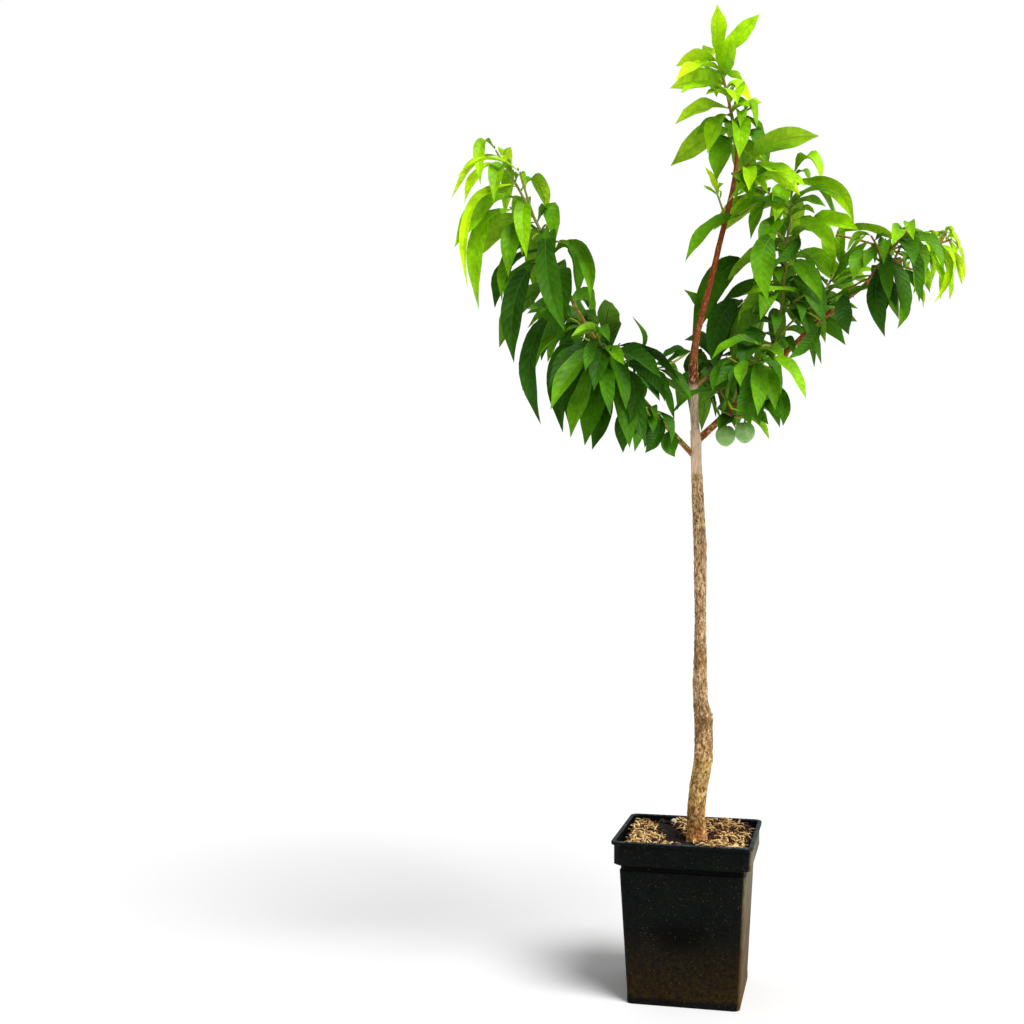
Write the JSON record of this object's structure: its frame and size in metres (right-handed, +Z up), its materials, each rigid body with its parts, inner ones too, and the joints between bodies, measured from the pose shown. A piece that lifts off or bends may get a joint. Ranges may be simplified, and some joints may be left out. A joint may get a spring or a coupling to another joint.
{
  "type": "potted nectarine tree",
  "caption": "Young nectarine tree in a square nursery pot of mulched mix: a slim bark trunk, a leader and spreading boughs, drooping lance-shaped leaves and small green fruit.",
  "frame": {"origin": "centre of the pot's flat underside, on the ground", "axes": "+Z up along the trunk, +X to the right bough and -X to the left bough as seen from the front, -Y towards the viewer; the pot is turned 14 degrees clockwise from above"},
  "size_m": [0.5839, 0.3055, 1.1126],
  "materials": {
    "pot": "matte, dusty black",
    "mix": "rough damp wood fibre and soil",
    "trunk": "rough flaky bark",
    "leader": "smooth young bark",
    "left_bough": "smooth young bark",
    "right_bough": "smooth young bark",
    "foliage": "satin leaf"
  },
  "bodies": {
    "root": {"pot": "pot", "potting_mix": "mix", "trunk": "trunk", "leader": "leader", "left_bough": "left_bough", "right_bough": "right_bough", "foliage_crown_top": "foliage", "foliage_leader_high": "foliage", "foliage_leader_spur": "foliage", "foliage_left_outer": "foliage", "foliage_left_mid": "foliage", "foliage_left_back": "foliage", "foliage_left_inner": "foliage", "foliage_left_low": "foliage", "foliage_upright": "foliage", "foliage_back": "foliage", "foliage_fork": "foliage", "foliage_right_low": "foliage", "foliage_right_mid": "foliage", "foliage_right_front": "foliage", "foliage_right_outer": "foliage"}
  },
  "joints": []
}
